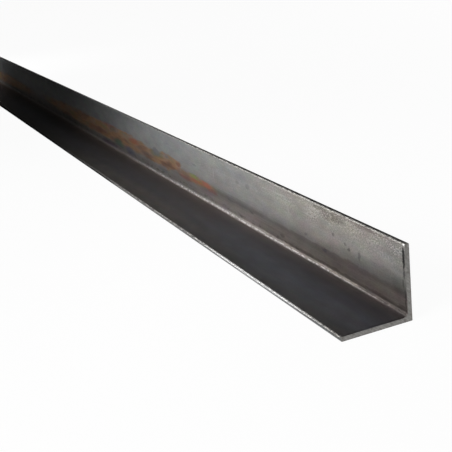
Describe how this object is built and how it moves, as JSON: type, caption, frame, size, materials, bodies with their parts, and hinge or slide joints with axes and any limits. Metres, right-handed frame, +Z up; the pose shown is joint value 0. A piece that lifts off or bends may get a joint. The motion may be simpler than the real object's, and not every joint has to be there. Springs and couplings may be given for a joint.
{
  "type": "metal angle section",
  "caption": "Equal-leg steel angle bar, hot rolled, with a filleted root, rounded toes, a sharp heel and square sawn ends, cut to a stock length for frames and brackets.",
  "frame": {"origin": "centre of the bounding box's bottom, on the floor that the bar lies on, midway between the sawn ends", "axes": "+X along the bar, +Y from the toe of the flat leg to the back of the upright leg, +Z up"},
  "size_m": [1.5, 0.05, 0.05],
  "materials": {
    "mill_scale_steel": "hot-rolled mill scale, blue-black to mid grey, with light rust"
  },
  "bodies": {
    "root": {"steel_angle": "mill_scale_steel"}
  },
  "joints": []
}
